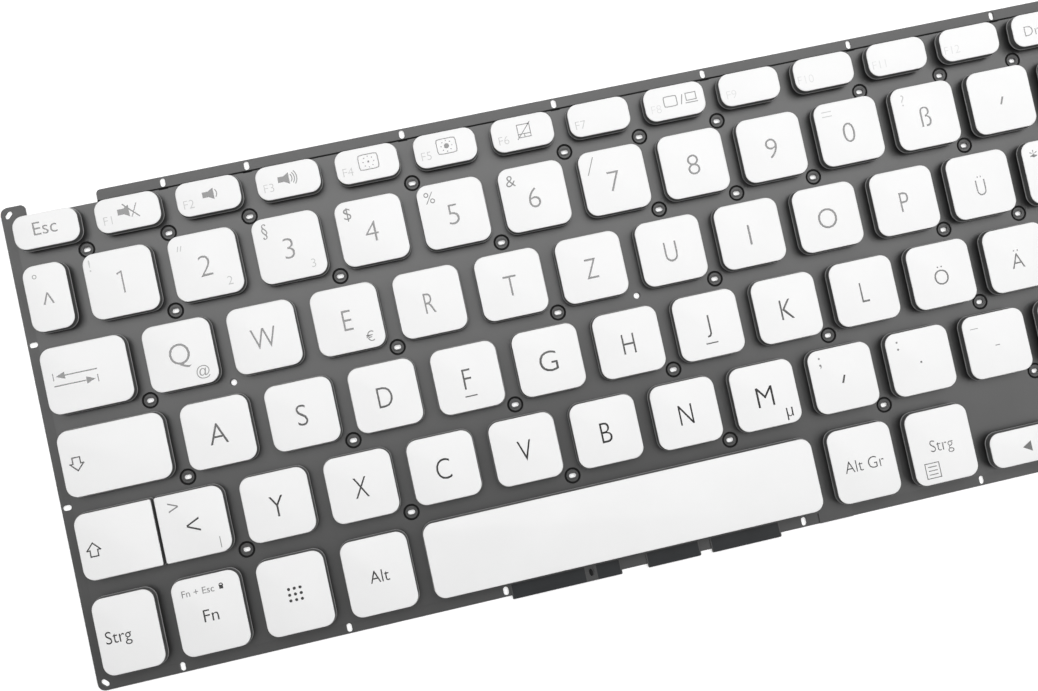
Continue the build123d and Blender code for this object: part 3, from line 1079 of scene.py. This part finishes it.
def seat_middle(name):
    """The middle of the links: under the enter cap they stand below its narrow front part."""
    if name == "enter":
        return Vector(((enter_step.x + enter_high.x) / 2, middle_of(name).y))
    return middle_of(name)


link_masters = {}
links = {}
for name in places:
    seat = seat_of(name)
    if seat not in link_masters:
        link_masters[seat] = link_pair(*seat)
    spot = seat_middle(name)
    links[name] = copy_piece(link_masters[seat], "links_" + name, spot)
    if name == "space":
        links[name].data.transform(Matrix.Translation((-space_link_offset, 0, 0)))
        second = copy_piece(link_masters[seat], "links_second", spot + Vector((space_link_offset, 0)))
        join_to(links[name], [second])
for master in link_masters.values():
    bpy.data.objects.remove(master)
print("links:", len(links), "from", len(link_masters), "sizes")

# %% [markdown]
# ## Rubber domes
# A dome under each cap pushes it back up. It could be spun from a profile, but insets of a disc do the
# same with fewer steps: a flange, a wall that draws in as it rises, and a shallow dish in the top. The
# steps are shares of the radius inwards and of the height upwards.

# %% Rubber domes
dome_radius = 3.0 * mm
dome_clearance = 0.15 * mm
dome_sides = 16
dome_steps = ((0, 0.06), (0.1, 0.01), (0.12, 0.28), (0.1, 0.32), (0.08, 0.33), (0.14, 0), (0.06, -0.07))
dome_height = roof_z - film_top - seat_clearance
smooth_angle = 40


def make_dome(radius):
    bpy.ops.object.select_all(action="DESELECT")
    bpy.ops.mesh.primitive_circle_add(vertices=dome_sides, radius=radius, fill_type="NGON",
                                      location=(0, 0, film_top))
    dome = bpy.context.object
    settle(dome)
    bpy.ops.object.mode_set(mode="EDIT")
    bpy.ops.mesh.select_all(action="SELECT")
    for inward, upward in dome_steps:
        bpy.ops.mesh.inset(thickness=inward * radius, depth=upward * dome_height)
    fill_rim()
    finish_shell(smooth_angle)
    dome.data.materials.append(dome_rubber)
    return dome


dome_masters = {}
domes = {}
for name in places:
    room = seat_of(name)[1] / 2 - 2 * link_bar - link_clearance - dome_clearance
    radius = round(min(dome_radius, room), size_digits)
    if radius not in dome_masters:
        dome_masters[radius] = make_dome(radius)
    domes[name] = copy_piece(dome_masters[radius], "dome_" + name, seat_middle(name))
for master in dome_masters.values():
    bpy.data.objects.remove(master)
print("domes:", len(domes), "of", len(dome_masters), "sizes")

# %% [markdown]
# ## Stabiliser bars
# A bent wire keeps each of the widest caps level. A disc could be swept along a path, but a curve with a
# bevel depth does that by itself. Its line is three sides of a rectangle that leans from the film at the
# back to the cap at the front. The two bends are bevelled round, and the line becomes a curve with the
# wire's thickness.

# %% Stabiliser bars
barred_names = ("backspace", "caps_lock", "right_shift", "space")
wire_radius = 0.4 * mm
wire_clearance = 0.5 * mm
wire_bend = 1.6 * mm
bend_segments = 4
wire_resolution = 2


def make_bar(name):
    inset = skirt_flare + cap_wall + wire_clearance + wire_radius
    low, high = places[name]
    corner = Vector((inset, inset))
    wire = flat_outline("bar_" + name, low + corner, high - corner, film_top + wire_radius + seat_clearance)
    middle_y = middle_of(name).y
    for point in wire.data.vertices:
        if point.co.y < middle_y:
            point.co.z = roof_z - wire_radius - seat_clearance
    bpy.ops.object.mode_set(mode="EDIT")
    bpy.ops.mesh.delete(type="ONLY_FACE")
    bpy.ops.object.mode_set(mode="OBJECT")
    pick(wire, lambda point: point.y > middle_y)
    bpy.ops.mesh.select_mode(type="EDGE")
    bpy.ops.mesh.delete(type="EDGE")
    bpy.ops.object.mode_set(mode="OBJECT")
    round_corners(wire, lambda point: point.y < middle_y, wire_bend, bend_segments)
    bpy.ops.object.convert(target="CURVE")
    wire.data.bevel_depth = wire_radius
    wire.data.bevel_resolution = wire_resolution
    wire.data.use_fill_caps = True
    bpy.ops.object.convert(target="MESH")
    bpy.ops.object.shade_smooth_by_angle(angle=radians(smooth_angle))
    wire.data.materials.append(wire_steel)
    return wire


bars = {name: make_bar(name) for name in barred_names}
print("bars:", [len(bar.data.vertices) for bar in bars.values()], "points")

# %% [markdown]
# ## The mechanism rides on the base
# On the real board the links fold and the dome buckles. Each could be built as a linkage, but nobody sees
# it move under the cap. So links, domes and bars ride on the base and stand for their solids, which are
# hidden, and where a key has a joint, each gets a mesh of its own.

for pieces, slot, nodes in (
    (links, "link_plastic", ("outer_scissor_links", "inner_scissor_links")),
    (domes, "dome_rubber", ("rubber_domes",)),
    (bars, "wire_steel", ("stabiliser_bars",)),
):
    for name, piece in pieces.items():
        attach(piece, "base")
        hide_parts(*nodes)
        if name in single_names:
            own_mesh(piece)

# %% [markdown]
# ## Where the bosses stand
# The plate's bosses come up through holes in the film. Their places could be typed in again, but the
# plate knows them: the points at its highest level belong to the bosses, and points that lie close
# together are one boss.

# %% Where the bosses stand
boss_diameter = 2.8 * mm
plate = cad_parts["base_plate"]
plate_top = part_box("circuit_membrane")[0].z
boss_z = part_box("base_plate")[1].z

bosses = []
for vertex in plate.data.vertices:
    if vertex.co.z > boss_z - near:
        mates = [group for group in bosses if (group[0] - vertex.co).length < boss_diameter + near]
        if mates:
            mates[0].append(vertex.co.copy())
        else:
            bosses.append([vertex.co.copy()])
print("bosses:", len(bosses))

# %% [markdown]
# ## Collars on the bosses
# The gap round each boss lies in shade, painted as a flat black ring, and the slot in the boss has a soft
# lip. A lip could be a bent tube, but it is flatter than that, so insets raise it from an outline. Its
# underside is closed, and its middle is bridged from top to bottom into a hole. The shade is a plain ring.

# %% Collars on the bosses
boss_ring = 0.5 * mm
ring_sides = 32
shade_ring_rise = 0.1 * mm
lip_size = Vector((2.4, 1.75)) * mm
lip_round = 0.49 * lip_size.y
lip_segments = 6
lip_steps = ((0, 0.04), (0.06, 0.05), (0.14, 0.02), (0.16, -0.05), (0.04, -0.1))


def make_lip():
    lip = flat_outline("lip_master", -lip_size / 2, lip_size / 2, boss_z)
    round_corners(lip, lambda point: True, lip_round, lip_segments)
    bpy.ops.object.mode_set(mode="EDIT")
    bpy.ops.mesh.select_mode(type="FACE")
    bpy.ops.mesh.select_all(action="SELECT")
    for inward, upward in lip_steps:
        bpy.ops.mesh.inset(thickness=inward * mm, depth=upward * mm)
    fill_rim()
    finish_shell(smooth_angle)
    open_window(lip)
    lip.data.materials.append(plate_paint)
    return lip


# A flat black ring that paints the shade in the gap round a boss.
def make_shade_ring():
    bpy.ops.object.select_all(action="DESELECT")
    bpy.ops.mesh.primitive_cylinder_add(vertices=ring_sides, radius=boss_diameter / 2 + boss_ring,
                                        depth=shade_ring_rise, location=(0, 0, plate_top + shade_ring_rise / 2))
    ring = bpy.context.object
    settle(ring)
    cut_ring(ring, boss_ring)
    bpy.ops.object.shade_smooth_by_angle(angle=radians(smooth_angle))
    ring.data.materials.append(crevice_shade)
    return ring


collar_master = make_lip()
join_to(collar_master, [make_shade_ring()])
collars = []
for points in bosses:
    xs = [point.x for point in points]
    ys = [point.y for point in points]
    middle = Vector((min(xs) + max(xs), min(ys) + max(ys))) / 2
    collars.append(copy_piece(collar_master, "boss_collars", middle))
bpy.data.objects.remove(collar_master)
join_to(collars[0], collars[1:])
boss_collars = collars[0]
boss_collars.name = "boss_collars"
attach(boss_collars, "base")
print("collars:", len(bosses), "with", len(boss_collars.data.polygons), "faces")

# %% [markdown]
# ## The edge of the film
# Along the rear rim the step where the film ends lies in shade, which swells a little below each slot of
# the rim, and a black bead paints that shade. The bead could be a curve with a changing radius, but it is
# low and flat, so a long thin block with bevelled edges is the bead, and short ones beside it are the
# swellings. The slots are read from the plate.

# %% The edge of the film
bead_width = 0.42 * mm
bead_proud = 0.02 * mm
swell_length = 2.3 * mm
swell_width = 0.5 * mm
swell_lap = 0.2 * mm
notch_end = 21.75 * mm
slot_width = 1.2 * mm
strip_segments = 2
film_low, film_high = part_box("circuit_membrane")
plate_low, plate_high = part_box("base_plate")
bead_rise = film_top + bead_proud - plate_top
bead_round = 0.3 * bead_rise


def make_bead(name, low, high):
    """A bevelled strip of painted shade that lies on the plate and stands just above the film."""
    middle = (*((low + high) / 2), plate_top + bead_rise / 2)
    return rounded_block(name, middle, (*(high - low), bead_rise), bead_round, strip_segments, crevice_shade)


film_back = film_high.y
bead_start = Vector((plate_low.x + notch_end, film_back - bead_proud))
film_edge = make_bead("film_edge", bead_start, Vector((film_high.x, film_back + bead_width)))
first_x = plate_low.x + notch_end + slot_width
last_x = plate_high.x - notch_end
slot_points = [vertex.co.x for vertex in plate.data.vertices
               if film_back < vertex.co.y < plate_high.y - near and first_x < vertex.co.x < last_x]
slot_points.sort()
swellings = []
for x, following in zip(slot_points, slot_points[1:] + [slot_points[-1] + letter_pitch]):
    if following - x > slot_width:
        low = Vector((x - slot_width / 2 - swell_length / 2, film_back - swell_lap))
        swellings.append(make_bead("swelling", low, low + Vector((swell_length, swell_width))))
join_to(film_edge, swellings)
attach(film_edge, "base")
print("film edge:", len(swellings), "swellings")

# %% [markdown]
# ## Tape on the front tabs
# The film's tabs lap over the front edge, and black tape lies on them. On the longest tab the tape leaves
# a window round a small punched hole. The tape could be a second colour of the film, but its edge shows,
# so each strip is a thin bevelled block. The tabs' ends are read from the film's own points, and points
# round one corner count as one end. The hole is a dark oval of painted shade for its recess, because the
# film is a part of the frame and stays whole.

# %% Tape on the front tabs
tape_rise = 0.02 * mm
tape_depth = 3.4 * mm
tape_inset = 0.03 * mm
tape_round = 0.4 * tape_rise
hole_place = Vector((-24.2, -54.1)) * mm
hole_size = Vector((0.8, 1.7)) * mm
hole_sides = 24
window_width = 2.8 * mm
corner_room = 1.0 * mm


def make_tape(first, last):
    """A strip of tape on the film from one x to another, from the front of the tab backwards."""
    middle = ((first + last) / 2, film_low.y + tape_inset + tape_depth / 2, film_top + tape_rise / 2)
    size = (last - first, tape_depth, tape_rise)
    return rounded_block("tab_tape", middle, size, tape_round, strip_segments, tape)


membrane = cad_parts["circuit_membrane"]
tab_ends = []
for x in sorted(vertex.co.x for vertex in membrane.data.vertices if vertex.co.y < film_low.y + near):
    if not tab_ends or x - tab_ends[-1] > corner_room:
        tab_ends.append(x)
strips = []
for first, last in zip(tab_ends[::2], tab_ends[1::2]):
    if first < hole_place.x < last:
        strips.append(make_tape(first, hole_place.x - window_width / 2))
        first = hole_place.x + window_width / 2
    strips.append(make_tape(first, last))
bpy.ops.object.select_all(action="DESELECT")
bpy.ops.mesh.primitive_cylinder_add(vertices=hole_sides, radius=0.5, depth=tape_rise,
                                    location=(*hole_place, film_top + tape_rise / 2))
hole = bpy.context.object
hole.scale = (*hole_size, 1)
settle(hole)
# The oval's flat black paints the shade in the recess of the hole.
hole.data.materials.append(crevice_shade)
tab_tape = strips[0]
join_to(tab_tape, strips[1:] + [hole])
tab_tape.name = "tab_tape"
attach(tab_tape, "base")
print("tabs:", len(tab_ends) // 2, "with", len(strips), "strips of tape")
